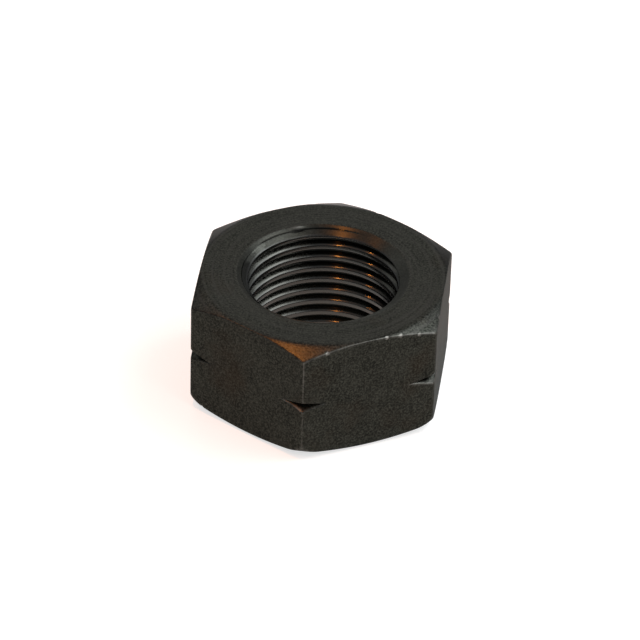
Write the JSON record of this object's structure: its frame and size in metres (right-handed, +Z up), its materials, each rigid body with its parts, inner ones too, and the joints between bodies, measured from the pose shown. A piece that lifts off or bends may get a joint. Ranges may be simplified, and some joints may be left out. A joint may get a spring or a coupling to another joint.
{
  "type": "hex nut",
  "caption": "Plain hexagon nut with a fine left-hand thread, chamfered corners and a V groove across the corners.",
  "frame": {"origin": "centre of the lower bearing face, on the thread's axis", "axes": "+Z up the thread's axis, towards the upper face; two flats face -X and +X, and two corners point along -Y and +Y"},
  "size_m": [0.036, 0.0412, 0.019],
  "materials": {
    "nut": "blackened steel: a dark, oiled conversion coating with slightly burnished edges"
  },
  "bodies": {
    "root": {"nut": "nut"}
  },
  "joints": []
}
